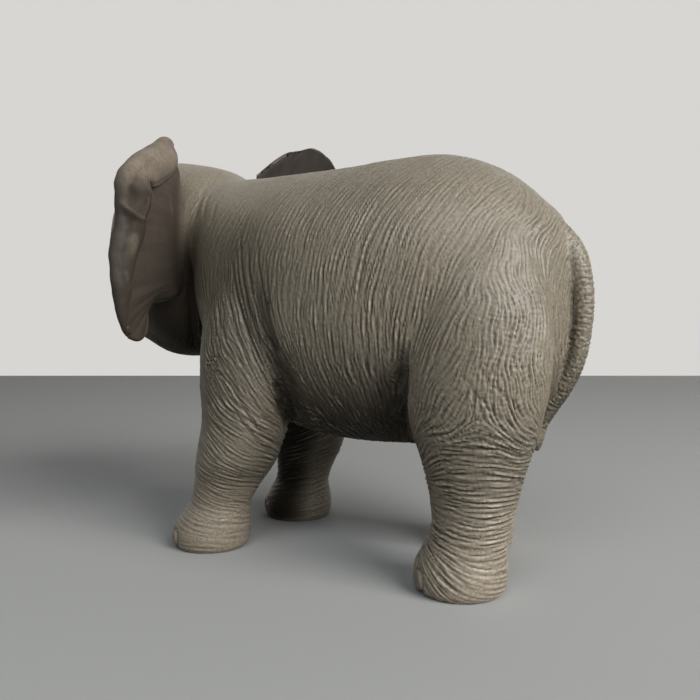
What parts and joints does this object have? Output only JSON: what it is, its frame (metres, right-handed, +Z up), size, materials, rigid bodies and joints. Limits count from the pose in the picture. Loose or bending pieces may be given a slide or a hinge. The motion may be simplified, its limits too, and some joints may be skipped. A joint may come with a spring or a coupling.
{
  "type": "toy elephant calf figure",
  "caption": "Moulded soft vinyl figure of an African elephant calf, standing, with one folded ear, wrinkled skin and a raised trunk, for pretend play.",
  "frame": {"origin": "centre of the bounding box in plan, on the plane that the soles stand on", "axes": "+Y from the face toward the tail, so the calf faces -Y; +X its left side; +Z up"},
  "size_m": [0.1064, 0.1692, 0.1235],
  "materials": {
    "body_skin": "soft vinyl moulded with fine skin wrinkles, painted grey brown with a dark wash in the grooves",
    "leg_skin": "soft vinyl with ringed wrinkles, paler toward the feet",
    "ear_skin": "thin soft vinyl with shallow folds, darker on its hollow side",
    "eye_gloss": "glossy dark brown paint"
  },
  "bodies": {
    "root": {"torso": "body_skin", "head": "body_skin", "trunk": "body_skin", "tail": "body_skin", "left_ear": "ear_skin", "right_ear": "ear_skin", "left_eye": "eye_gloss", "right_eye": "eye_gloss", "front_left_leg": "leg_skin", "front_right_leg": "leg_skin", "hind_left_leg": "leg_skin", "hind_right_leg": "leg_skin"}
  },
  "joints": []
}
